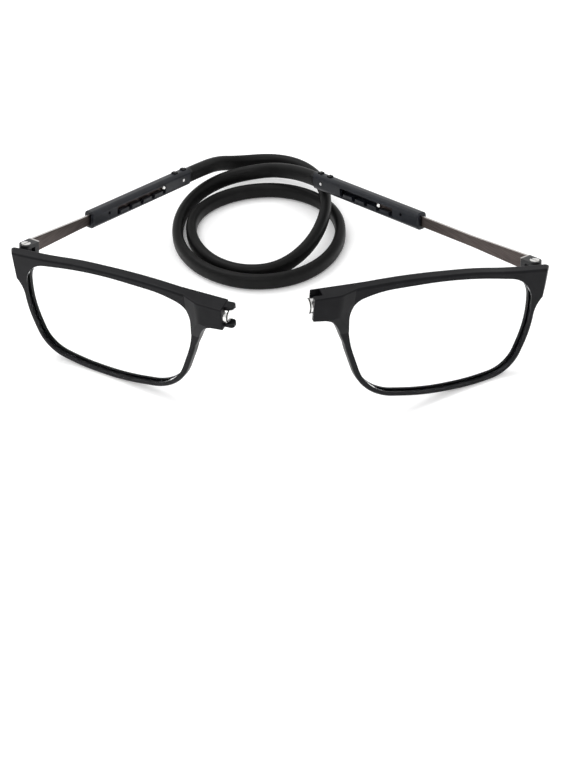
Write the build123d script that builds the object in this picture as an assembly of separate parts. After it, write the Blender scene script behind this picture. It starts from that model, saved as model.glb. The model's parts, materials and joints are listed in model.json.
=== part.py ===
from build123d import *

import math
import os

# Reading glasses that part at a magnetic bridge and hang from a soft neck cord.
# Millimetres, +Z up. The two halves lie opened on a table with the cord coiled behind them.
# The origin is on the table, under the middle of the two halves, temples and sleeves.
# A half is drawn as the right one: x away from the nose, y back to the wearer, z up,
# with y = 0 at the rim's front. The left half is its mirror image.

# Lens opening and rim
HALF_LENS_WIDTH = 25.9
HALF_LENS_HEIGHT = 16.6
RIM_FACE = 1.35
RIM_DEPTH = 2.2
BROW_DEPTH = 3.0
RIM_EDGE_ROUND = 0.6
RIM_BACK_ROUND = 0.5
GROOVE_DEPTH = 0.5
GROOVE_FRONT = 0.55
LENS_EDGE = 1.0
LENS_SEAT_GAP = 0.1
LENS_BULGE = 1.0
LENS_HOLLOW = 0.5
# Corners of the opening: x as a share of the half width, z of the half height, and the
# bend, which is the share of the shorter run beside the corner that its arc takes up
OPENING_SHARES = (
    (-1.02, 0.875, 0.96),
    (-0.705, 1.003, 0.96),
    (0.133, 0.965, 0.96),
    (0.954, 0.691, 0.96),
    (1.008, -0.131, 0.92),
    (0.859, -0.904, 0.96),
    (0.461, -1.01, 0.95),
    (-0.047, -1.0, 0.96),
    (-0.724, -0.774, 0.92),
    (-0.989, 0.273, 0.96),
)

# Brow bar with the end piece at the temple side, then back under it and up the nose side
# to the bridge block's underside, as shares in the same way
BROW_SHARES = (
    (-0.463, 1.114, 0.96),
    (0.309, 1.0, 0.96),
    (0.695, 0.889, 0.96),
    (1.2, 0.803, 0.75),
    (1.2, 0.494, 0.7),
    (1.054, 0.217, 0.85),
    (1.031, -0.09, 0.0),
    (0.8, -0.09, 0.0),
    (-0.77, 0.0, 0.0),
    (-0.958, 0.0, 0.0),
    (-1.039, 0.253, 0.9),
    (-1.108, 0.506, 0.9),
    (-1.205, 0.708, 0.9),
)
END_FLARE = 2.6
END_ROUND = 0.4

# Bridge block at the nose side, with the magnet in its slanted end
BRIDGE_HALF_GAP = 10.1
BROW_TOP_SHARE = 1.108
BLOCK_HEIGHT = 5.9
BLOCK_FRONT = 1.4
BLOCK_END_FRONT = 1.0
BLOCK_DEPTH = 5.1
BLOCK_END_SLANT = 0.7
BLOCK_SHOULDER = 2.0
SHOULDER_ROUND = 4.0
BLOCK_FOOT = 2.3
BLOCK_TAIL = 12.0
BLOCK_RAMP = 6.0
BLOCK_EDGE = 0.3
MAGNET_DIAMETER = 3.8
MAGNET_SEAT = 1.6
MAGNET_PROUD_LEFT = 1.2
MAGNET_PROUD_RIGHT = 0.8
MAGNET_EDGE = 0.25
SEAT_CLEARANCE = 0.05
LUG_REACH = 2.3
LUG_HEIGHT = 1.3
LUG_WIDTH = 2.3
LUG_INSET = 0.15
LUG_BACK_INSET = 0.7
LUG_NOSE = 0.8
LUG_ROOT = 0.5
LUG_GAP = 0.2
POCKET_DEPTH = 2.4
POCKET_ROOM = 0.2

# Nose pad moulded behind the rim's nose side
PAD_THICKNESS = 1.2
PAD_BACK = 6.2
PAD_HEIGHT = 10.0
PAD_SPLAY = 1.6
PAD_TILT = 20.0
PAD_COVER = 0.1
PAD_ROUND = 2.4
PAD_ACROSS_SHARE = -0.98
PAD_UP_SHARE = 0.09

# Hinge: the temple's lug holds the screw, the front's knuckle turns on it
HINGE_STAND = 2.2
HINGE_BEHIND = 2.5
HINGE_HEIGHT_SHARE = 0.666
LUG_THICK = 3.2
LUG_ROUND = 1.5
LUG_HEEL = 1.75
LUG_LENGTH = 3.6
LUG_EDGE = 0.4
LEAF_HALF_WIDTH = 1.2
LEAF_HEEL = 1.3
LEAF_ROUND = 0.9
RELIEF_IN = 1.8
WEB_WIDTH = 2.2
WEB_ROOT = 1.5
KNUCKLE_HEIGHT = 2.0
KNUCKLE_RADIUS = 1.45
HINGE_GAP = 0.1
HEEL_GAP = 0.35
SCREW_DIAMETER = 1.4
SCREW_HEAD_DIAMETER = 2.4
SCREW_HEAD_HEIGHT = 0.5
SCREW_STAND = 0.1
SCREW_SLOT = 0.35
SCREW_SLOT_DEPTH = 0.25
SCREW_SHORT = 0.2
BORE_CLEARANCE = 0.05

# Temple strip, with the click pin near its tail
STRIP_THICKNESS = 1.0
STRIP_ROOT_HEIGHT = 4.2
STRIP_HEIGHT = 3.0
STRIP_TAPER = 23.5
STRIP_TAIL = 2.1
STRIP_CHAMFER = 0.2
STRIP_ROUND = 1.0
PIN_DIAMETER = 1.2
PIN_STATION = 59.8
PIN_EDGE = 0.25

# Sleeve that the strip slides in, and the cord's plug in its rear
SLEEVE_LENGTH = 45.4
SLEEVE_WIDTH = 3.3
SLEEVE_HEIGHT = 4.9
SLEEVE_ROUND = 1.2
SLEEVE_MOUTH_CHAMFER = 0.3
SOCKET_WALL = 1.9
STRIP_CLEARANCE = 0.12
NOTCH_COUNT = 5
NOTCH_PITCH = 5.3
TAIL_SPARE = 1.9
LOOSE_HOLE_GAP = 4.3
NOTCH_DROP = 0.95
NOTCH_ROUND = 0.5
LOOSE_HOLE_DIAMETER = 1.0
PIN_HEIGHT = 0.35
PIN_CLEARANCE = 0.15
PLUG_LENGTH = 7.0
PLUG_WALL = 0.6
PLUG_CLEARANCE = 0.05
BUMP_LENGTH = 1.3
BUMP_WIDTH = 1.4
BUMP_STAND = 0.35
BUMP_FIRST = 1.2
BUMP_PITCH = 4.1
CORD_PIN_DIAMETER = 0.9
CORD_PIN_FROM_END = 3.4
CUT_OVERRUN = 1.0

# Cord section, standing on edge
CORD_WIDTH = 3.1
CORD_HEIGHT = 4.6
CORD_GAP = 0.4

# Where the cord's two ends lie, in the sleeves, and how each half is turned there:
# yaw, lean and roll of the temple, then drop and fold of the front on its hinge
JUNCTION_LEFT = (-24.68, 52.6, 12.97)
TEMPLE_LEFT_TURN = (-34.58, -13.2, 0.64)
FRONT_LEFT_DROP = 15.2
FRONT_LEFT_FOLD = 1.63
NOTCH_LEFT = 0
JUNCTION_RIGHT = (13.54, 46.68, 12.4)
TEMPLE_RIGHT_TURN = (36.33, -9.25, 7.39)
FRONT_RIGHT_DROP = 11.0
FRONT_RIGHT_FOLD = 12.97
NOTCH_RIGHT = 3

# Cord's route. The coil runs clockwise seen from above, a quarter turn to each station
LEAD_LEFT_ROUTE = ((-16.02, 65.91, 8.6),)
COIL_STATIONS = (
    (-3.32, 70.31, 5.5),
    (15.58, 44.51, 7.55),
    (-4.32, 16.41, 2.35),
    (-23.92, 41.01, 2.35),
    (-3.32, 59.01, 2.35),
    (19.08, 36.01, 2.35),
    (-2.32, 11.71, 2.35),
    (-27.92, 39.51, 2.35),
    (-8.32, 63.01, 5.4),
)
COIL_HEADINGS = ((1, 0), (0, -1), (-1, 0), (0, 1), (1, 0), (0, -1), (-1, 0), (0, 1), (1, 0))
COIL_RISES = (0, 0, 0, 0, 0, 0, 0, 0, 0.22)
LEAD_RIGHT_ROUTE = ((4.78, 57.41, 9.6),)
LEAD_STRAIGHT = 6.5
COIL_STRAIGHT = 7.0
ARC_SHARE = 0.45


def outline(plane, points_and_radii):
    """Closed face in a plane from corners (across, up, radius), radius 0 for a sharp one."""
    corners = [(across, up) for across, up, _ in points_and_radii]
    radii = [radius for _, _, radius in points_and_radii]
    return plane * make_face(FilletPolyline(*corners, radius=radii, close=True))


def eased(plane, corners):
    """Closed face from corners (across, up, bend); each radius follows from the runs beside it."""
    rounded = []
    for index, (across, up, bend) in enumerate(corners):
        here = Vector(across, up)
        before = here - Vector(*corners[index - 1][:2])
        after = Vector(*corners[(index + 1) % len(corners)][:2]) - here
        half_turn = math.radians(before.get_angle(after) / 2)
        radius = bend * min(before.length, after.length) / 2 / math.tan(half_turn)
        rounded.append((across, up, radius))
    return outline(plane, rounded)


def between(face, front, back):
    """A face of the XZ plane made solid from depth front to depth back."""
    return extrude(Pos(0, front, 0) * face, amount=front - back)


def standing(face, low, high):
    """A face of the XY plane made solid from height low to height high."""
    return extrude(Pos(0, 0, low) * face, amount=high - low)


def crosswise(face, inner, outer):
    """A face of the YZ plane made solid from inner to outer along X."""
    return extrude(Pos(inner, 0, 0) * face, amount=outer - inner)


def cross_rod(inner, outer, y, z, radius):
    """Round rod along X."""
    return Pos((inner + outer) / 2, y, z) * Rot(0, 90, 0) * Cylinder(radius, outer - inner)


def upright_rod(x, y, low, high, radius):
    """Round rod along Z."""
    return Pos(x, y, (low + high) / 2) * Cylinder(radius, high - low)


def block_box(xs, ys, zs):
    """Box from its ranges in x, y and z."""
    middle = [(low + high) / 2 for low, high in (xs, ys, zs)]
    return Pos(*middle) * Box(xs[1] - xs[0], ys[1] - ys[0], zs[1] - zs[0])


# Lens opening, and the rim with its brow bar, less deep towards its lower edge
opening = eased(
    Plane.XZ, [(x * HALF_LENS_WIDTH, z * HALF_LENS_HEIGHT, bend) for x, z, bend in OPENING_SHARES]
)
brow_z = BROW_TOP_SHARE * HALF_LENS_HEIGHT
nose_x = -(HALF_LENS_WIDTH + RIM_FACE)
block_x = -(HALF_LENS_WIDTH + BRIDGE_HALF_GAP)
block_low = brow_z - BLOCK_HEIGHT
brow_face = eased(
    Plane.XZ,
    [(block_x - CUT_OVERRUN, brow_z, 0)]
    + [(x * HALF_LENS_WIDTH, z * HALF_LENS_HEIGHT, bend) for x, z, bend in BROW_SHARES]
    + [(block_x - CUT_OVERRUN, block_low, 0)],
)
rim_low = -(HALF_LENS_HEIGHT + RIM_FACE)
depth_side = outline(
    Plane.YZ,
    [
        (-CUT_OVERRUN, rim_low - CUT_OVERRUN, 0),
        (RIM_DEPTH, rim_low - CUT_OVERRUN, 0),
        (BROW_DEPTH, brow_z + CUT_OVERRUN, 0),
        (-CUT_OVERRUN, brow_z + CUT_OVERRUN, 0),
    ],
)
rim = between(offset(opening, amount=RIM_FACE) + brow_face - opening, 0, BROW_DEPTH)
end_x = max(x for x, _, _ in BROW_SHARES) * HALF_LENS_WIDTH
lens_wall = between(opening, 0, BROW_DEPTH)
rim = fillet(
    [edge for edge in rim.edges().group_by(Axis.Y)[0] if edge.distance_to(lens_wall) > RIM_FACE / 2],
    RIM_EDGE_ROUND,
)
rim = rim & crosswise(depth_side, block_x - BLOCK_DEPTH, end_x + BLOCK_DEPTH)
back_edges = [
    edge
    for edge in rim.edges()
    if edge.center().Y > RIM_DEPTH - RIM_EDGE_ROUND and edge.distance_to(lens_wall) > RIM_FACE / 2
]
rim = fillet([edge for edge in back_edges if abs(edge.tangent_at(0.5).Y) < 1 / 2], RIM_BACK_ROUND)

# The end piece's side flares outwards as it goes back
flare = outline(
    Plane.XY,
    [
        (end_x - END_FLARE * (1 + CUT_OVERRUN / BROW_DEPTH), -CUT_OVERRUN, 0),
        (end_x + BROW_DEPTH, -CUT_OVERRUN, 0),
        (end_x + BROW_DEPTH, BROW_DEPTH, 0),
        (end_x, BROW_DEPTH, 0),
    ],
)
rim = rim - standing(flare, -HALF_LENS_HEIGHT, brow_z)
on_flare = Vector(end_x - END_FLARE / 2, BROW_DEPTH / 2, HINGE_HEIGHT_SHARE * HALF_LENS_HEIGHT)
rim = fillet(rim.faces().sort_by_distance(on_flare)[0].edges(), END_ROUND)

# Bridge block: the brow's nose end made deeper, drawn in plan and from the side
block_foot = block_low - BLOCK_RAMP
block_back = BLOCK_DEPTH - BLOCK_FRONT
block_mid_y = (block_back - BLOCK_END_FRONT) / 2
block_mid_z = brow_z - BLOCK_HEIGHT / 2
block_tail_x = nose_x + BLOCK_TAIL
foot_slope = (BLOCK_SHOULDER + BLOCK_FOOT) / BLOCK_FRONT
block_plan = outline(
    Plane.XY,
    [
        (block_x - CUT_OVERRUN, -BLOCK_END_FRONT, 0),
        (nose_x - BLOCK_SHOULDER, -BLOCK_FRONT, SHOULDER_ROUND),
        (nose_x + BLOCK_FOOT + foot_slope, 1, 0),
        (block_tail_x, 1, 0),
        (block_tail_x, RIM_DEPTH, 0),
        (block_x - CUT_OVERRUN, block_back, 0),
    ],
)
block_side = outline(
    Plane.YZ,
    [
        (-2 * BLOCK_FRONT, brow_z + CUT_OVERRUN, 0),
        (2 * block_back - RIM_DEPTH, brow_z + CUT_OVERRUN, 0),
        (2 * block_back - RIM_DEPTH, block_low + BLOCK_RAMP, 0),
        (RIM_DEPTH, block_foot, 0),
        (0, block_foot, 0),
        (-2 * BLOCK_FRONT, block_low + BLOCK_RAMP, 0),
    ],
)
block = (
    between(brow_face, -BLOCK_FRONT - CUT_OVERRUN, block_back + CUT_OVERRUN)
    & standing(block_plan, block_foot - CUT_OVERRUN, brow_z + CUT_OVERRUN)
    & crosswise(block_side, block_x - CUT_OVERRUN, block_tail_x)
)
groove = between(
    offset(opening, amount=GROOVE_DEPTH), GROOVE_FRONT, GROOVE_FRONT + LENS_EDGE + LENS_SEAT_GAP
)
window = between(opening, -BLOCK_DEPTH, BLOCK_DEPTH)
bare_front = rim + block
proud_edges = [
    edge
    for edge in bare_front.edges()
    if edge.center().Y < -BLOCK_EDGE
    and edge.center().X > block_x
    and abs((edge % (1 / 2)).Z) < 1 - BLOCK_EDGE / 2
]
bare_front = fillet(proud_edges, BLOCK_EDGE) - window - groove

# The block's end leans back a little. Its frame has x = 0 in the end face, the magnet's middle
end_turn = math.degrees(math.atan(BLOCK_END_SLANT / (block_back + BLOCK_END_FRONT)))
end_place = Pos(block_x + BLOCK_END_SLANT / 2, block_mid_y, block_mid_z) * Rot(0, 0, -end_turn)
past_end = block_box((-BLOCK_DEPTH, 0), (-BLOCK_DEPTH, BLOCK_DEPTH), (-BLOCK_HEIGHT, BLOCK_HEIGHT))
bare_front = bare_front - end_place * past_end
end_face = bare_front.faces().filter_by(GeomType.PLANE).sort_by_distance(end_place.position)[0]
bare_front = fillet(end_face.edges(), BLOCK_EDGE)

# Nose pad: a wing behind the nose side, splayed outwards as it goes back
pad_root_y = GROOVE_FRONT + LENS_EDGE + LENS_SEAT_GAP + PAD_COVER
pad_plan = outline(
    Plane.XY,
    [
        (0, pad_root_y, 0),
        (PAD_THICKNESS, pad_root_y, 0),
        (PAD_THICKNESS, RIM_DEPTH + PAD_COVER, 0),
        (PAD_THICKNESS + PAD_SPLAY, PAD_BACK, 0),
        (PAD_SPLAY, PAD_BACK, 0),
        (0, RIM_DEPTH + PAD_COVER, 0),
    ],
)
pad_side = outline(
    Plane.YZ,
    [
        (0, -PAD_HEIGHT / 2, 0),
        (PAD_BACK, -PAD_HEIGHT / 2, PAD_ROUND),
        (PAD_BACK, PAD_HEIGHT / 2, PAD_ROUND),
        (0, PAD_HEIGHT / 2, 0),
    ],
)
pad = standing(pad_plan, -PAD_HEIGHT, PAD_HEIGHT) & crosswise(pad_side, -PAD_BACK, PAD_BACK)
pad_place = Pos(PAD_ACROSS_SHARE * HALF_LENS_WIDTH, 0, PAD_UP_SHARE * HALF_LENS_HEIGHT)
bare_front = bare_front + pad_place * Rot(0, -PAD_TILT, 0) * pad

# Bridge coupling: the left block carries two lugs round its magnet, the right one takes them
magnet_radius = MAGNET_DIAMETER / 2
seat = end_place * cross_rod(-LUG_REACH, MAGNET_SEAT, 0, 0, magnet_radius + SEAT_CLEARANCE)
lug_shield = cross_rod(-LUG_REACH - CUT_OVERRUN, MAGNET_SEAT, 0, 0, magnet_radius + LUG_GAP)
lug_half = BLOCK_HEIGHT / 2 - LUG_INSET
lug_back_shift = (BLOCK_DEPTH - LUG_WIDTH) / 2 - LUG_BACK_INSET


def bridge_lugs(reach, root, extra, open_by):
    """The two lugs, or with extra room and an open outer side the pockets that they enter."""
    shapes = []
    for side, shift in ((1, lug_back_shift), (-1, 0)):
        near = side * (lug_half + open_by)
        far = side * (lug_half - LUG_HEIGHT - extra)
        piece = outline(
            Plane.XY,
            [
                (-reach, shift - LUG_WIDTH / 2 - extra, LUG_NOSE),
                (-reach, shift + LUG_WIDTH / 2 + extra, LUG_NOSE),
                (root, shift + LUG_WIDTH / 2 + extra, 0),
                (root, shift - LUG_WIDTH / 2 - extra, 0),
            ],
        )
        shapes.append(standing(piece, min(near, far), max(near, far)))
    return shapes


pockets = [end_place * shape for shape in bridge_lugs(CUT_OVERRUN, POCKET_DEPTH, POCKET_ROOM, LUG_HEIGHT)]
lugs = [end_place * (shape - lug_shield) for shape in bridge_lugs(LUG_REACH, LUG_ROOT, 0, 0)]


def magnet_of(proud):
    """Disc magnet seated in a bridge block."""
    disc = cross_rod(-proud, MAGNET_SEAT, 0, 0, magnet_radius)
    return end_place * chamfer(disc.edges().group_by(Axis.X)[0], MAGNET_EDGE)


# Lens: an edge that sits in the groove and a thin dome within the opening
lens_back = GROOVE_FRONT + LENS_EDGE
half_diagonal = math.hypot(HALF_LENS_WIDTH, HALF_LENS_HEIGHT)


def ball(apex, rise):
    """Ball whose surface meets y = apex and falls back by rise at the lens's corner."""
    radius = (half_diagonal**2 + rise**2) / (2 * rise)
    return Pos(0, apex + radius, 0) * Sphere(radius)


lens_inner = offset(opening, amount=-LENS_SEAT_GAP)
lens_outer = offset(opening, amount=GROOVE_DEPTH - LENS_SEAT_GAP)
lens_edge = between(lens_outer - lens_inner, GROOVE_FRONT, lens_back)
lens_body = between(lens_inner, GROOVE_FRONT - 2 * LENS_BULGE, lens_back)
lens_body = lens_body & ball(GROOVE_FRONT - LENS_BULGE, LENS_BULGE)
lens_body = lens_body - ball(lens_back - LENS_HOLLOW, LENS_HOLLOW)
lens = lens_edge + lens_body

# Temple lug, strip and hinge, with y = 0 at the hinge axis and x = z = 0 on the strip's middle
strip_out = STRIP_THICKNESS / 2
lug_in = strip_out - LUG_THICK
hinge_in = (strip_out + lug_in) / 2
leaf_in = hinge_in - LEAF_HALF_WIDTH
root_top = STRIP_ROOT_HEIGHT / 2
knuckle_half = KNUCKLE_HEIGHT / 2
slot_half = knuckle_half + HINGE_GAP
screw_radius = SCREW_DIAMETER / 2
head_low = root_top + SCREW_STAND - SCREW_HEAD_HEIGHT
hinge_x = HALF_LENS_WIDTH + HINGE_STAND
hinge_y = BROW_DEPTH + HINGE_BEHIND
hinge_z = HINGE_HEIGHT_SHARE * HALF_LENS_HEIGHT
lug_plan = outline(
    Plane.XY,
    [
        (lug_in, -LUG_HEEL, LUG_ROUND),
        (strip_out, -LUG_HEEL, LUG_ROUND),
        (strip_out, LUG_LENGTH, 0),
        (lug_in, LUG_LENGTH, LUG_EDGE),
    ],
)
leaf_plan = outline(
    Plane.XY,
    [
        (leaf_in, -LEAF_HEEL, LEAF_ROUND),
        (strip_out, -LEAF_HEEL, LEAF_ROUND),
        (strip_out, LUG_LENGTH, 0),
        (leaf_in, LUG_LENGTH, LUG_EDGE),
    ],
)
slot_reach = KNUCKLE_RADIUS + HEEL_GAP
lug = standing(lug_plan, -slot_half, root_top) + standing(leaf_plan, -root_top, -slot_half)
lug_slot = (lug_in - CUT_OVERRUN, CUT_OVERRUN)
lug = lug - block_box(lug_slot, (-LUG_LENGTH, slot_reach), (-slot_half, slot_half))
strip_tail = PIN_STATION + STRIP_TAIL
strip_side = outline(
    Plane.YZ,
    [
        (slot_reach, root_top, 0),
        (slot_reach, -root_top, 0),
        (LUG_LENGTH, -root_top, 0),
        (STRIP_TAPER, -STRIP_HEIGHT / 2, 0),
        (strip_tail, -STRIP_HEIGHT / 2, STRIP_ROUND),
        (strip_tail, STRIP_HEIGHT / 2, STRIP_ROUND),
        (STRIP_TAPER, STRIP_HEIGHT / 2, 0),
        (LUG_LENGTH, root_top, 0),
    ],
)
strip = crosswise(strip_side, -strip_out, strip_out)
strip = chamfer(strip.edges().group_by(Axis.X)[0] + strip.edges().group_by(Axis.X)[-1], STRIP_CHAMFER)
strip = strip + lug
head_bore = SCREW_HEAD_DIAMETER / 2 + BORE_CLEARANCE
screw_bore = screw_radius + BORE_CLEARANCE
strip = strip - upright_rod(hinge_in, 0, head_low, root_top + CUT_OVERRUN, head_bore)
strip = strip - upright_rod(hinge_in, 0, -root_top - CUT_OVERRUN, head_low, screw_bore)
strip = strip - cross_rod(-CUT_OVERRUN, CUT_OVERRUN, PIN_STATION, PIN_HEIGHT, PIN_DIAMETER / 2)
click_pin = cross_rod(-SLEEVE_WIDTH / 2, strip_out, PIN_STATION, PIN_HEIGHT, PIN_DIAMETER / 2)
click_pin = chamfer(click_pin.edges().group_by(Axis.X)[0], PIN_EDGE)
screw = upright_rod(hinge_in, 0, head_low, root_top + SCREW_STAND, SCREW_HEAD_DIAMETER / 2)
screw = screw + upright_rod(hinge_in, 0, SCREW_SHORT - root_top, head_low, screw_radius)
screw = screw - block_box(
    (hinge_in - SCREW_SLOT / 2, hinge_in + SCREW_SLOT / 2),
    (-SCREW_HEAD_DIAMETER, SCREW_HEAD_DIAMETER),
    (root_top + SCREW_STAND - SCREW_SLOT_DEPTH, root_top + CUT_OVERRUN),
)


def front_in_temple(drop, fold):
    """Where the front sits in the temple's frame: dropped and folded on the hinge axis."""
    turned = Pos(hinge_in, 0, root_top) * Rot(drop, 0, 0) * Rot(0, 0, -fold)
    return turned * Pos(-hinge_x, -hinge_y, -hinge_z - root_top)


def with_knuckle(front, drop, fold):
    """The front with the seat cut parallel to the hinge axis and the knuckle standing on it."""
    back = front_in_temple(drop, fold).inverse() * Pos(hinge_in, 0, 0) * Rot(0, 0, -fold)
    seat_y = -(LUG_HEEL + HEEL_GAP)
    relief_up = (-root_top - HEEL_GAP, root_top + LUG_LENGTH)
    relief = block_box((-RELIEF_IN, LUG_LENGTH), (seat_y, LUG_LENGTH), relief_up)
    web = block_box((-WEB_WIDTH / 2, WEB_WIDTH / 2), (seat_y - WEB_ROOT, 0), (-knuckle_half, knuckle_half))
    knuckle = web + upright_rod(0, 0, -knuckle_half, knuckle_half, KNUCKLE_RADIUS)
    knuckle = knuckle - upright_rod(0, 0, -KNUCKLE_HEIGHT, KNUCKLE_HEIGHT, screw_bore)
    return front - back * relief + back * knuckle


# Sleeve, plug and pin at the cord's end, with y = 0 at the sleeve's rear
channel_width = STRIP_THICKNESS + 2 * STRIP_CLEARANCE
channel_height = STRIP_HEIGHT + 2 * STRIP_CLEARANCE
track_height = PIN_DIAMETER + 2 * PIN_CLEARANCE
track_low = PIN_HEIGHT - track_height / 2
track_high = PIN_HEIGHT + track_height / 2
mouth_y = -SLEEVE_LENGTH
channel_depth = SLEEVE_LENGTH - PLUG_LENGTH - SOCKET_WALL
notch_deepest = channel_depth - STRIP_TAIL - TAIL_SPARE
notch_stations = [mouth_y + notch_deepest - index * NOTCH_PITCH for index in range(NOTCH_COUNT)]
sleeve_out = SLEEVE_WIDTH / 2
sleeve = between(Plane.XZ * RectangleRounded(SLEEVE_WIDTH, SLEEVE_HEIGHT, SLEEVE_ROUND), mouth_y, 0)
sleeve = chamfer(sleeve.edges().group_by(Axis.Y)[0], SLEEVE_MOUTH_CHAMFER)
sleeve = sleeve - between(
    Plane.XZ * Rectangle(channel_width, channel_height), mouth_y - CUT_OVERRUN, mouth_y + channel_depth
)
half_track = track_height / 2
track = outline(
    Plane.YZ,
    [
        (notch_stations[-1] - half_track, track_high, NOTCH_ROUND),
        (notch_stations[0] + half_track, track_high, NOTCH_ROUND),
        (notch_stations[0] + half_track, track_low, 0),
        (notch_stations[-1] - half_track, track_low, 0),
    ],
)
slots = [crosswise(track, -sleeve_out - CUT_OVERRUN, 0)]
for station in notch_stations:
    notch = outline(
        Plane.YZ,
        [
            (station - half_track, PIN_HEIGHT, 0),
            (station + half_track, PIN_HEIGHT, 0),
            (station + half_track, track_low - NOTCH_DROP, NOTCH_ROUND),
            (station - half_track, track_low - NOTCH_DROP, NOTCH_ROUND),
        ],
    )
    slots.append(crosswise(notch, -sleeve_out - CUT_OVERRUN, 0))
loose_hole_y = notch_stations[-1] - LOOSE_HOLE_GAP
slots.append(cross_rod(-sleeve_out - CUT_OVERRUN, 0, loose_hole_y, PIN_HEIGHT, LOOSE_HOLE_DIAMETER / 2))
for shape in slots:
    sleeve = sleeve - shape
socket_width = SLEEVE_WIDTH - 2 * PLUG_WALL
socket_height = SLEEVE_HEIGHT - 2 * PLUG_WALL
socket_round = SLEEVE_ROUND - PLUG_WALL
plug_width = socket_width - 2 * PLUG_CLEARANCE
plug_height = socket_height - 2 * PLUG_CLEARANCE
sleeve = sleeve - between(
    Plane.XZ * RectangleRounded(socket_width, socket_height, socket_round), -PLUG_LENGTH, CUT_OVERRUN
)
plug = between(
    Plane.XZ * RectangleRounded(plug_width, plug_height, socket_round - PLUG_CLEARANCE), -PLUG_LENGTH, 0
)
for first in (BUMP_FIRST, BUMP_FIRST + BUMP_PITCH):
    sleeve = sleeve - block_box(
        (-BUMP_WIDTH / 2 - PLUG_CLEARANCE, BUMP_WIDTH / 2 + PLUG_CLEARANCE),
        (-first - BUMP_LENGTH - PLUG_CLEARANCE, -first + PLUG_CLEARANCE),
        (0, SLEEVE_HEIGHT),
    )
    plug = plug + block_box(
        (-BUMP_WIDTH / 2, BUMP_WIDTH / 2),
        (-first - BUMP_LENGTH, -first),
        (0, SLEEVE_HEIGHT / 2 + BUMP_STAND),
    )
cord_pin = cross_rod(-sleeve_out, sleeve_out, -CORD_PIN_FROM_END, 0, CORD_PIN_DIAMETER / 2)
sleeve = sleeve - cross_rod(-SLEEVE_WIDTH, SLEEVE_WIDTH, -CORD_PIN_FROM_END, 0, CORD_PIN_DIAMETER / 2)
plug = plug - cord_pin

# Where everything lies
pieces = {}
joint_facts = {}
cord_ends = {}
halves = (
    ("left", JUNCTION_LEFT, TEMPLE_LEFT_TURN, FRONT_LEFT_DROP, FRONT_LEFT_FOLD, NOTCH_LEFT),
    ("right", JUNCTION_RIGHT, TEMPLE_RIGHT_TURN, FRONT_RIGHT_DROP, FRONT_RIGHT_FOLD, NOTCH_RIGHT),
)
for name, junction, turn, drop, fold, notch in halves:
    yaw, lean, roll = turn
    sleeve_place = Pos(*junction) * Rot(0, 0, yaw) * Rot(lean, 0, 0) * Rot(0, roll, 0)
    shown = PIN_STATION - notch_deepest + notch * NOTCH_PITCH
    to_hinge = Pos(0, -(SLEEVE_LENGTH + shown), 0)
    if name == "left":
        front = bare_front - seat
        for shape in lugs:
            front = front + shape
        magnet = magnet_of(MAGNET_PROUD_LEFT)
    else:
        front = bare_front - seat
        for shape in pockets:
            front = front - shape
        magnet = magnet_of(MAGNET_PROUD_RIGHT)
    front = with_knuckle(front, drop, fold)
    to_front = to_hinge * front_in_temple(drop, fold)
    local = {
        "front": to_front * front,
        "lens": to_front * lens,
        "bridge_magnet": to_front * magnet,
        "hinge_screw": to_hinge * screw,
        "temple_strip": to_hinge * strip,
        "click_pin": to_hinge * click_pin,
        "sleeve": sleeve,
        "cord_plug": plug,
        "cord_pin": cord_pin,
    }
    for piece_name, shape in local.items():
        if name == "left":
            shape = mirror(shape, about=Plane.YZ)
        pieces[name + "_" + piece_name] = sleeve_place * shape
    sign = -1 if name == "left" else 1
    backwards = (sleeve_place * Pos(0, 1, 0)).position - sleeve_place.position
    upwards = (sleeve_place * Pos(0, 0, 1)).position - sleeve_place.position
    hinge = (sleeve_place * to_hinge * Pos(sign * hinge_in, 0, 0)).position
    mouth = (sleeve_place * Pos(0, mouth_y, 0)).position
    cord_ends[name] = (sleeve_place.position, backwards)
    print("JOINT", name, "hinge", tuple(hinge), "up", tuple(upwards), "mouth", tuple(mouth))
    print("JOINT", name, "backwards", tuple(backwards), "shown", shown)
    print("JOINT", name, "slide", -notch * NOTCH_PITCH, (NOTCH_COUNT - 1 - notch) * NOTCH_PITCH)

# Cord: a lead from each sleeve and the coil between them
section = SlotOverall(CORD_HEIGHT, CORD_WIDTH)
section_area = section.area


def upright_section(start, heading):
    """Cord's section square to a heading, standing on edge."""
    across = Vector(heading).cross(Vector(0, 0, 1)).normalized()
    up = across.cross(Vector(heading)).normalized()
    return Plane(origin=start, x_dir=up, z_dir=heading) * section


def biarc(start, start_dir, end, end_dir):
    """Two arcs, each tangent to the next, between two points with their directions."""
    start, end = Vector(start), Vector(end)
    t0, t1 = Vector(start_dir).normalized(), Vector(end_dir).normalized()
    across, turn = end - start, t0 + t1
    spread = 2 * (1 - t0.dot(t1))
    reach = across.dot(turn)
    share = (math.sqrt(reach**2 + spread * across.dot(across)) - reach) / spread
    joint = (start + end + (t0 - t1) * share) * (1 / 2)
    first = TangentArc(start, joint, tangent=t0)
    return [first, TangentArc(joint, end, tangent=first % 1)]


def free_run(points):
    """Straight runs joined by tangent arcs; each radius follows from the shorter run."""
    points = [Vector(point) for point in points]
    radii = []
    for before, at, after in zip(points, points[1:], points[2:]):
        turn = (at - before).get_angle(after - at)
        shorter = min((at - before).length, (after - at).length)
        radii.append(ARC_SHARE * shorter / math.tan(math.radians(turn / 2)))
    print("free run lengths", [round((b - a).length, 2) for a, b in zip(points, points[1:])])
    print("free run radii", [round(radius, 2) for radius in radii])
    return FilletPolyline(*points, radius=radii)


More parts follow.
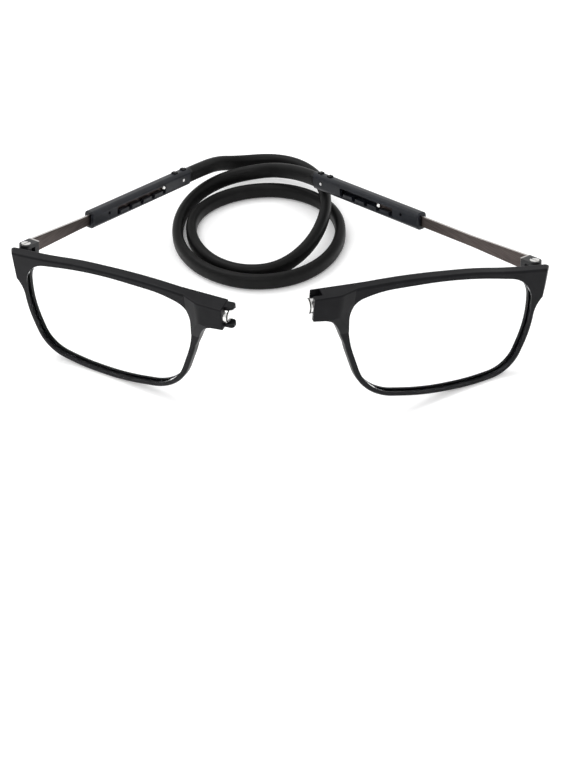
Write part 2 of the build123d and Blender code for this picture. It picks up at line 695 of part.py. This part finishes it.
coil_headings = [
    (east, north, rise) for (east, north), rise in zip(COIL_HEADINGS, COIL_RISES)
]
coil_edges = []
for index in range(len(COIL_STATIONS) - 1):
    coil_edges += biarc(
        COIL_STATIONS[index], coil_headings[index], COIL_STATIONS[index + 1], coil_headings[index + 1]
    )
left_start, left_heading = cord_ends["left"]
right_start, right_heading = cord_ends["right"]
coil_start, coil_end = Vector(COIL_STATIONS[0]), Vector(COIL_STATIONS[-1])
end_heading = Vector(coil_headings[-1]).normalized()
left_path = free_run(
    [coil_start, coil_start - Vector(coil_headings[0]) * COIL_STRAIGHT]
    + list(reversed(LEAD_LEFT_ROUTE))
    + [left_start + left_heading * LEAD_STRAIGHT, left_start]
)
right_path = free_run(
    [coil_end, coil_end + end_heading * COIL_STRAIGHT]
    + list(LEAD_RIGHT_ROUTE)
    + [right_start + right_heading * LEAD_STRAIGHT, right_start]
)
coil_path = Wire(coil_edges)
coil = sweep(upright_section(coil_start, coil_headings[0]), path=coil_path)
coil_end_face = coil.faces().sort_by_distance(coil_end)[0]
pieces["cord_lead_left"] = sweep(upright_section(coil_start, (-1, 0, 0)), path=left_path)
pieces["cord_coil"] = coil
pieces["cord_lead_right"] = sweep(coil_end_face, path=right_path)
for node, path in (
    ("cord_lead_left", left_path),
    ("cord_coil", coil_path),
    ("cord_lead_right", right_path),
):
    print(node, "volume", pieces[node].volume, "section by length", section_area * path.length)

# Least gap between strands of the cord, measured between points of its middle line
walk = []
travelled = 0
for path in (Wire(left_path.edges()), coil_path, Wire(right_path.edges())):
    count = round(path.length / CORD_GAP)
    for step in range(count):
        share = 1 - step / count if travelled == 0 else step / count
        walk.append((travelled + path.length * step / count, path @ share))
    travelled += path.length
least = CORD_HEIGHT * CORD_HEIGHT
for index, (here, point) in enumerate(walk):
    for there, other in walk[index + 1 :]:
        if there - here > 3 * CORD_HEIGHT:
            low = max(0, abs(point.Z - other.Z) - (CORD_HEIGHT - CORD_WIDTH))
            gap = math.sqrt((point.X - other.X) ** 2 + (point.Y - other.Y) ** 2 + low**2) - CORD_WIDTH
            if gap < least:
                least = gap
                where = (tuple(point), tuple(other))
print("least gap between strands", least, "at", where)

os.makedirs("parts", exist_ok=True)
for node, shape in pieces.items():
    export_step(shape, "parts/" + node + ".step")
    box = shape.bounding_box()
    print(node, "solids", len(shape.solids()), "volume", round(shape.volume, 2), "low", round(box.min.Z, 3))
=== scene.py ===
import json
import math
import bpy
from mathutils import Matrix, Vector


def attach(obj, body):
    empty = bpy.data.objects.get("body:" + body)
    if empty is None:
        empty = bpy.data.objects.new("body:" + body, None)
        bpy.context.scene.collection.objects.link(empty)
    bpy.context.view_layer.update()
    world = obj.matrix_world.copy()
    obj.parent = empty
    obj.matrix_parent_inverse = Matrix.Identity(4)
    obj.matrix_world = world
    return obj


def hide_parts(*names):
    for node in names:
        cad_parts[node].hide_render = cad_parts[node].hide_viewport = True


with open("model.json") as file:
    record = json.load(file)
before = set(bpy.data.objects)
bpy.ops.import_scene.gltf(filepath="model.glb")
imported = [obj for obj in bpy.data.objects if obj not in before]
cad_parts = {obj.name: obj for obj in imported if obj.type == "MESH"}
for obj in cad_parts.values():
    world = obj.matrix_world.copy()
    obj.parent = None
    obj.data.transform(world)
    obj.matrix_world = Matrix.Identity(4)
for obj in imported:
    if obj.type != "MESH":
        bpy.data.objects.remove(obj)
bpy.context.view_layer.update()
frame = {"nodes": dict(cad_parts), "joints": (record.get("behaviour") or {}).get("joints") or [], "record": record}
nodes = frame["nodes"]
joints = {joint["name"]: joint for joint in frame["joints"]}
mounts = {mount["name"]: mount for mount in frame["record"]["mounts"]}
SIDES = ("left", "right")

# Camera, at the photograph's viewing angle
CAMERA_PLACE = (0.00118, -0.350618, 0.258795)
CAMERA_RIGHT = (0.99793, -0.04045, -0.04996)
CAMERA_UP = (0.06428, 0.62797, 0.77558)
FOCAL_LENGTH = 75.0
SENSOR_WIDTH = 36.0
CLIP_START = 0.01
CLIP_END = 20.0


def place_camera():
    data = bpy.data.cameras.new("camera")
    data.lens = FOCAL_LENGTH
    data.sensor_width = SENSOR_WIDTH
    data.sensor_fit = "AUTO"
    data.clip_start = CLIP_START
    data.clip_end = CLIP_END
    camera = bpy.data.objects.new("camera", data)
    bpy.context.collection.objects.link(camera)
    right = Vector(CAMERA_RIGHT)
    up = Vector(CAMERA_UP)
    back = right.cross(up)
    turn = Matrix((right, up, back)).transposed().to_4x4()
    camera.matrix_world = Matrix.Translation(CAMERA_PLACE) @ turn
    bpy.context.scene.camera = camera


place_camera()


# Building blocks of the materials
WHITE = (1, 1, 1, 1)
NOISE_LOW = 0.35
NOISE_HIGH = 0.65


def new_material(name):
    material = bpy.data.materials.new(name)
    material.use_nodes = True
    tree = material.node_tree
    return material, tree, tree.nodes["Principled BSDF"]


def object_place(tree):
    """Each point's own place, which rides with its piece."""
    return tree.nodes.new("ShaderNodeTexCoord").outputs["Object"]


def object_normal(tree):
    return tree.nodes.new("ShaderNodeTexCoord").outputs["Normal"]


def place_from(tree, zero):
    """Each point's place, counted from a zero point."""
    node = tree.nodes.new("ShaderNodeVectorMath")
    node.operation = "SUBTRACT"
    node.inputs[1].default_value = zero
    tree.links.new(object_place(tree), node.inputs[0])
    return node.outputs["Vector"]


def noise(tree, place, scale, detail=3.0):
    node = tree.nodes.new("ShaderNodeTexNoise")
    node.inputs["Scale"].default_value = scale
    node.inputs["Detail"].default_value = detail
    tree.links.new(place, node.inputs["Vector"])
    return node.outputs["Fac"]


def ramp(tree, source, low, high):
    """A colour between two colours, fed by a noise."""
    node = tree.nodes.new("ShaderNodeValToRGB")
    first, last = node.color_ramp.elements
    first.position = NOISE_LOW
    last.position = NOISE_HIGH
    first.color = (*low, 1)
    last.color = (*high, 1)
    tree.links.new(source, node.inputs["Fac"])
    return node.outputs["Color"]


def mask(tree, source, start, end):
    """Nothing up to the start and all from the end on."""
    node = tree.nodes.new("ShaderNodeMapRange")
    node.inputs["From Min"].default_value = start
    node.inputs["From Max"].default_value = end
    tree.links.new(source, node.inputs["Value"])
    return node.outputs["Result"]


def mix_colours(tree, factor, first, second):
    """A mix of two colours, each of them a link or a plain colour."""
    node = tree.nodes.new("ShaderNodeMix")
    node.data_type = "RGBA"
    tree.links.new(factor, node.inputs["Factor"])
    for name, colour in (("A", first), ("B", second)):
        if isinstance(colour, tuple):
            node.inputs[name].default_value = (*colour, 1)
        else:
            tree.links.new(colour, node.inputs[name])
    return node.outputs["Result"]


def set_roughness(tree, shader, source, low, high):
    node = tree.nodes.new("ShaderNodeMapRange")
    node.inputs["To Min"].default_value = low
    node.inputs["To Max"].default_value = high
    tree.links.new(source, node.inputs["Value"])
    tree.links.new(node.outputs["Result"], shader.inputs["Roughness"])


def set_bump(tree, shader, source, strength, depth):
    node = tree.nodes.new("ShaderNodeBump")
    node.inputs["Strength"].default_value = strength
    node.inputs["Distance"].default_value = depth
    tree.links.new(source, node.inputs["Height"])
    tree.links.new(node.outputs["Normal"], shader.inputs["Normal"])


# Black mouldings: the frame, the sleeves and the cord
PATCH_SCALE = 260
GLOSS_SCALE = 700
GRAIN_SCALE = 9000
GRAIN_DETAIL = 1.0
GRAIN_STRENGTH = 0.2
GRAIN_DEPTH = 0.00002


def moulded(name, low, high, rough, specular):
    """Moulded plastic: a slight unevenness of colour and gloss, and a fine grain."""
    material, tree, shader = new_material(name)
    place = object_place(tree)
    tree.links.new(ramp(tree, noise(tree, place, PATCH_SCALE), low, high), shader.inputs["Base Color"])
    set_roughness(tree, shader, noise(tree, place, GLOSS_SCALE), *rough)
    grain = noise(tree, place, GRAIN_SCALE, GRAIN_DETAIL)
    set_bump(tree, shader, grain, GRAIN_STRENGTH, GRAIN_DEPTH)
    shader.inputs["Specular IOR Level"].default_value = specular
    return material


frame_black = moulded(
    "frame_black",
    low=(0.0052, 0.0052, 0.0062),
    high=(0.0078, 0.0078, 0.009),
    rough=(0.32, 0.42),
    specular=0.1,
)
sleeve_satin = moulded(
    "sleeve_satin",
    low=(0.0075, 0.0085, 0.0115),
    high=(0.0115, 0.013, 0.0175),
    rough=(0.26, 0.36),
    specular=0.25,
)
cord_silicone = moulded(
    "cord_silicone",
    low=(0.0042, 0.0042, 0.0042),
    high=(0.0062, 0.0062, 0.0062),
    rough=(0.4, 0.5),
    specular=0.12,
)

# Nickel plate of the screws and pins
PLATE_SCALE = 2600
NICKEL_LOW = (0.78, 0.775, 0.76)
NICKEL_HIGH = (0.9, 0.895, 0.88)
NICKEL_ROUGH = (0.14, 0.24)


def plated(name, low, high, rough):
    """Plated metal with a fine, even grain."""
    material, tree, shader = new_material(name)
    shader.inputs["Metallic"].default_value = 1.0
    grain = noise(tree, object_place(tree), PLATE_SCALE)
    tree.links.new(ramp(tree, grain, low, high), shader.inputs["Base Color"])
    set_roughness(tree, shader, grain, *rough)
    return material


nickel = plated("nickel", NICKEL_LOW, NICKEL_HIGH, NICKEL_ROUGH)

# Brushed gunmetal of the strips, with the lug at the hinge end plated black
LUG_END = 0.0033
LUG_FADE = 0.0003
LUG_BLACK = (0.010, 0.010, 0.011)
STRIP_LOW = (0.058, 0.047, 0.044)
STRIP_HIGH = (0.095, 0.079, 0.074)
# A bright colour painted on the strip's narrow top face as a highlight.
STRIP_TOP_PAINTED_HIGHLIGHT = (0.62, 0.60, 0.58)
STRIP_ROUGH = (0.3, 0.42)
STRIP_SPECULAR = 0.3
HIGHLIGHT_PAINT_START = 0.8
HIGHLIGHT_PAINT_FULL = 0.95
BRUSH_SCALE = 5200
BRUSH_DETAIL = 2.0
BRUSH_STRETCH = (0.03, 1, 1)
BRUSH_STRENGTH = 0.1
BRUSH_DEPTH = 0.00001


def along_strip(tree, side):
    """Places seen from the hinge, with x running back along the strip."""
    forward = joints[side + "_temple_slide"]["axis"]
    turn = tree.nodes.new("ShaderNodeVectorRotate")
    turn.rotation_type = "Z_AXIS"
    turn.inputs["Angle"].default_value = -math.atan2(-forward[1], -forward[0])
    hinge = joints[side + "_hinge_fold"]["pos_m"]
    tree.links.new(place_from(tree, hinge), turn.inputs["Vector"])
    return turn.outputs["Vector"]


def coordinate(tree, vector, name):
    split = tree.nodes.new("ShaderNodeSeparateXYZ")
    tree.links.new(vector, split.inputs["Vector"])
    return split.outputs[name]


def strip_metal(side):
    """Grain brushed along the strip, a painted highlight in a bright colour on its narrow top face, and its lug
    black.
    """
    material, tree, shader = new_material("strip_gunmetal_" + side)
    run = along_strip(tree, side)
    stretch = tree.nodes.new("ShaderNodeMapping")
    stretch.inputs["Scale"].default_value = BRUSH_STRETCH
    tree.links.new(run, stretch.inputs["Vector"])
    brush = noise(tree, stretch.outputs["Vector"], BRUSH_SCALE, BRUSH_DETAIL)
    # Painted highlight: faces that look up are given the bright top-face colour.
    top_face_highlight_mask = mask(tree, coordinate(tree, object_normal(tree), "Z"), HIGHLIGHT_PAINT_START, HIGHLIGHT_PAINT_FULL)
    past_lug = mask(tree, coordinate(tree, run, "X"), LUG_END, LUG_END + LUG_FADE)
    brushed = ramp(tree, brush, STRIP_LOW, STRIP_HIGH)
    with_painted_highlight = mix_colours(tree, top_face_highlight_mask, brushed, STRIP_TOP_PAINTED_HIGHLIGHT)
    colour = mix_colours(tree, past_lug, LUG_BLACK, with_painted_highlight)
    tree.links.new(colour, shader.inputs["Base Color"])
    tree.links.new(past_lug, shader.inputs["Metallic"])
    set_roughness(tree, shader, brush, *STRIP_ROUGH)
    set_bump(tree, shader, brush, BRUSH_STRENGTH, BRUSH_DEPTH)
    shader.inputs["Specular IOR Level"].default_value = STRIP_SPECULAR
    return material


strips = {side: strip_metal(side) for side in SIDES}

# Magnets: nickel discs with a dark line round the edge of the coupling face
MAGNET_LOW = (0.72, 0.715, 0.70)
MAGNET_HIGH = (0.86, 0.855, 0.84)
MAGNET_ROUGH = (0.16, 0.26)
RING_DARK = (0.02, 0.02, 0.02)
RING_WIDTH = 0.00028
RING_FADE = 0.000056
FACE_NORMAL = 0.95
WALL_NORMAL = 0.85


def along_axis(tree, vector, axis):
    node = tree.nodes.new("ShaderNodeVectorMath")
    node.operation = "DOT_PRODUCT"
    node.inputs[1].default_value = axis
    tree.links.new(vector, node.inputs[0])
    return node.outputs["Value"]


def magnet_metal(side):
    material, tree, shader = new_material("nickel_" + side)
    shader.inputs["Metallic"].default_value = 1.0
    mount = mounts[side + "_bridge_face"]
    depth = along_axis(tree, place_from(tree, mount["pos_m"]), mount["axis"])
    facing = along_axis(tree, object_normal(tree), mount["axis"])
    ring = tree.nodes.new("ShaderNodeMath")
    ring.operation = "MULTIPLY"
    tree.links.new(mask(tree, depth, -RING_WIDTH, RING_FADE - RING_WIDTH), ring.inputs[0])
    tree.links.new(mask(tree, facing, FACE_NORMAL, WALL_NORMAL), ring.inputs[1])
    grain = noise(tree, object_place(tree), PLATE_SCALE)
    bright = ramp(tree, grain, MAGNET_LOW, MAGNET_HIGH)
    colour = mix_colours(tree, ring.outputs["Value"], bright, RING_DARK)
    tree.links.new(colour, shader.inputs["Base Color"])
    set_roughness(tree, shader, grain, *MAGNET_ROUGH)
    return material


magnets = {side: magnet_metal(side) for side in SIDES}

# Clear lens, which casts no shadow
LENS_IOR = 1.02
LENS_TINT_LOW = (0.97, 0.985, 0.985)
LENS_TINT_HIGH = (0.99, 0.995, 0.995)
LENS_PATCH_SCALE = 40


def clear_lens():
    material, tree, shader = new_material("lens_clear")
    shader.inputs["Transmission Weight"].default_value = 1.0
    shader.inputs["IOR"].default_value = LENS_IOR
    shader.inputs["Roughness"].default_value = 0.0
    patches = noise(tree, object_place(tree), LENS_PATCH_SCALE)
    tint = ramp(tree, patches, LENS_TINT_LOW, LENS_TINT_HIGH)
    tree.links.new(tint, shader.inputs["Base Color"])
    see_through = tree.nodes.new("ShaderNodeBsdfTransparent")
    rays = tree.nodes.new("ShaderNodeLightPath")
    either = tree.nodes.new("ShaderNodeMixShader")
    tree.links.new(rays.outputs["Is Shadow Ray"], either.inputs["Fac"])
    tree.links.new(shader.outputs["BSDF"], either.inputs[1])
    tree.links.new(see_through.outputs["BSDF"], either.inputs[2])
    tree.links.new(either.outputs["Shader"], tree.nodes["Material Output"].inputs["Surface"])
    return material


lens_clear = clear_lens()


# Each CAD node gets its material
def dress(node, material):
    slots = nodes[node].data.materials
    slots.clear()
    slots.append(material)


for side in SIDES:
    dress(side + "_front", frame_black)
    dress(side + "_lens", lens_clear)
    dress(side + "_bridge_magnet", magnets[side])
    dress(side + "_hinge_screw", nickel)
    dress(side + "_temple_strip", strips[side])
    dress(side + "_click_pin", nickel)
    dress(side + "_sleeve", sleeve_satin)
    dress(side + "_cord_plug", cord_silicone)
    dress(side + "_cord_pin", nickel)

# Cord: a lead from each plug, and between them a coil that makes a quarter turn from station to station
LEAD_LEFT = (
    (-0.02468, 0.05260, 0.01297),
    (-0.02109, 0.05781, 0.01151),
    (-0.01602, 0.06591, 0.00860),
    (-0.01032, 0.07031, 0.00560),
)
STATIONS = (
    (-0.00332, 0.07031, 0.00560),
    (0.01558, 0.04451, 0.00775),
    (-0.00432, 0.01641, 0.00235),
    (-0.02392, 0.04101, 0.00235),
    (-0.00332, 0.05901, 0.00235),
    (0.01908, 0.03601, 0.00235),
    (-0.00232, 0.01171, 0.00235),
    (-0.02792, 0.03951, 0.00235),
    (-0.00832, 0.06301, 0.00540),
)
LEAD_RIGHT = (
    (-0.00132, 0.06301, 0.00694),
    (0.00478, 0.05741, 0.00960),
    (0.00973, 0.05186, 0.01142),
    (0.01354, 0.04668, 0.01240),
)
TURN_HEADINGS = ((1, 0, 0), (0, -1, 0), (-1, 0, 0), (0, 1, 0))
QUARTER_TURN = math.radians(90)
POINTS_A_QUARTER = 3
CORD_WIDTH = 0.0031
CORD_HEIGHT = 0.0046
HALF_SECTION_STEPS = 10
SPLINE_ORDER = 3
SPLINE_STEPS = 8


def eased(share):
    """A share that starts and ends gently."""
    return share * share * (3 - 2 * share)


def heading_at(station):
    return Vector(TURN_HEADINGS[station % len(TURN_HEADINGS)])


def quarter_points(index):
    """Points of one quarter turn, a little outside it because the spline cuts inside its points."""
    start, end = Vector(STATIONS[index]), Vector(STATIONS[index + 1])
    ahead, aside = heading_at(index), heading_at(index + 1)
    reach, width = (end - start).dot(ahead), (end - start).dot(aside)
    centre = start + aside * width
    outward = 1 / math.cos(QUARTER_TURN / POINTS_A_QUARTER / 2)
    points = []
    for step in range(POINTS_A_QUARTER):
        share = (step + 0.5) / POINTS_A_QUARTER
        turned = QUARTER_TURN * share
        point = centre + (ahead * (reach * math.sin(turned)) - aside * (width * math.cos(turned))) * outward
        point.z = start.z + (end.z - start.z) * eased(share)
        points.append(point)
    return points


def route_points():
    points = [Vector(place) for place in LEAD_LEFT]
    for index in range(len(STATIONS) - 1):
        points += quarter_points(index)
    return points + [Vector(place) for place in LEAD_RIGHT]


def cord_line(points):
    """The route's own NURBS spline, read as points."""
    curve = bpy.data.curves.new("route", "CURVE")
    curve.dimensions = "3D"
    curve.resolution_u = SPLINE_STEPS
    spline = curve.splines.new("NURBS")
    spline.points.add(len(points) - 1)
    for place, point in zip(spline.points, points):
        place.co = (*point, 1)
    spline.order_u = SPLINE_ORDER
    spline.use_endpoint_u = True
    obj = bpy.data.objects.new("route", curve)
    bpy.context.collection.objects.link(obj)
    bpy.context.view_layer.update()
    mesh = bpy.data.meshes.new_from_object(obj)
    line = [vertex.co.copy() for vertex in mesh.vertices]
    bpy.data.objects.remove(obj)
    bpy.data.meshes.remove(mesh)
    return line


def section_ring():
    """The cord's section, two half circles joined by flats and standing on edge, as (across, up) pairs."""
    ring = []
    radius = CORD_WIDTH / 2
    rise = (CORD_HEIGHT - CORD_WIDTH) / 2
    for sign in (1, -1):
        for step in range(HALF_SECTION_STEPS + 1):
            angle = math.pi * step / HALF_SECTION_STEPS
            ring.append((sign * radius * math.cos(angle), sign * (rise + radius * math.sin(angle))))
    return ring


def tube(name, line, ring):
    """A closed tube of one section along a line, with the section kept upright."""
    verts, faces = [], []
    for index, point in enumerate(line):
        before = line[max(index - 1, 0)]
        after = line[min(index + 1, len(line) - 1)]
        heading = (after - before).normalized()
        across = heading.cross(Vector((0, 0, 1))).normalized()
        up = across.cross(heading).normalized()
        verts += [tuple(point + across * x + up * z) for x, z in ring]
    around = len(ring)
    for index in range(len(line) - 1):
        for k in range(around):
            a, b = index * around + k, index * around + (k + 1) % around
            faces.append((a, b, b + around, a + around))
    faces.append(tuple(range(around)))
    faces.append(tuple(reversed(range((len(line) - 1) * around, len(line) * around))))
    mesh = bpy.data.meshes.new(name)
    mesh.from_pydata(verts, [], faces)
    mesh.validate()
    mesh.update()
    for polygon in mesh.polygons:
        polygon.use_smooth = len(polygon.vertices) < around
    obj = bpy.data.objects.new(name, mesh)
    bpy.context.collection.objects.link(obj)
    return obj


cord_path = cord_line(route_points())
cord = tube("neck_cord", cord_path, section_ring())
cord.data.materials.append(cord_silicone)
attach(cord, "cord")
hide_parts("cord_lead_left", "cord_coil", "cord_lead_right")

# Floor: white, and lifted a little for what sees it straight, in metal or through the lens
HALF_FLOOR = 4.0
FLOOR_COLOUR = (0.97, 0.97, 0.97, 1)
FLOOR_ROUGHNESS = 0.7
FLOOR_SPECULAR = 0.2
FLOOR_LIFT = 0.15
SEEING_RAYS = ("Is Camera Ray", "Is Glossy Ray", "Is Transmission Ray")


def add_floor():
    mesh = bpy.data.meshes.new("floor")
    corners = [(x * HALF_FLOOR, y * HALF_FLOOR, 0) for x, y in ((-1, -1), (1, -1), (1, 1), (-1, 1))]
    mesh.from_pydata(corners, [], [(0, 1, 2, 3)])
    obj = bpy.data.objects.new("floor", mesh)
    bpy.context.collection.objects.link(obj)
    return obj


def floor_paint():
    material, tree, shader = new_material("floor_white")
    shader.inputs["Base Color"].default_value = FLOOR_COLOUR
    shader.inputs["Roughness"].default_value = FLOOR_ROUGHNESS
    shader.inputs["Specular IOR Level"].default_value = FLOOR_SPECULAR
    shader.inputs["Emission Color"].default_value = WHITE
    rays = tree.nodes.new("ShaderNodeLightPath")
    seen = rays.outputs[SEEING_RAYS[0]]
    for kind in SEEING_RAYS[1:]:
        either = tree.nodes.new("ShaderNodeMath")
        either.operation = "MAXIMUM"
        tree.links.new(seen, either.inputs[0])
        tree.links.new(rays.outputs[kind], either.inputs[1])
        seen = either.outputs["Value"]
    lift = tree.nodes.new("ShaderNodeMath")
    lift.operation = "MULTIPLY"
    lift.inputs[1].default_value = FLOOR_LIFT
    tree.links.new(seen, lift.inputs[0])
    tree.links.new(lift.outputs["Value"], shader.inputs["Emission Strength"])
    return material


floor = add_floor()
floor.data.materials.append(floor_paint())

# World and lamps
SKY_STRENGTH = 0.85
LAMPS = {
    "key": {"place": (-0.35, 0.35, 0.9), "size": 0.8, "energy": 4.5},
    "fill": {"place": (-0.25, -0.75, 0.75), "size": 0.4, "energy": 2.0},
}


def light_world():
    world = bpy.data.worlds.new("world")
    bpy.context.scene.world = world
    world.use_nodes = True
    sky = world.node_tree.nodes["Background"]
    sky.inputs["Color"].default_value = WHITE
    sky.inputs["Strength"].default_value = SKY_STRENGTH


def area_lamp(name, place, size, energy):
    """A round lamp that shines on the middle of the part."""
    data = bpy.data.lights.new(name, "AREA")
    data.shape = "DISK"
    data.size = size
    data.energy = energy
    lamp = bpy.data.objects.new(name, data)
    bpy.context.collection.objects.link(lamp)
    lamp.location = place
    lamp.rotation_euler = (-Vector(place)).to_track_quat("-Z", "Y").to_euler()


light_world()
for lamp_name, lamp_values in LAMPS.items():
    area_lamp(lamp_name, **lamp_values)

bpy.context.scene.view_settings.view_transform = "Standard"
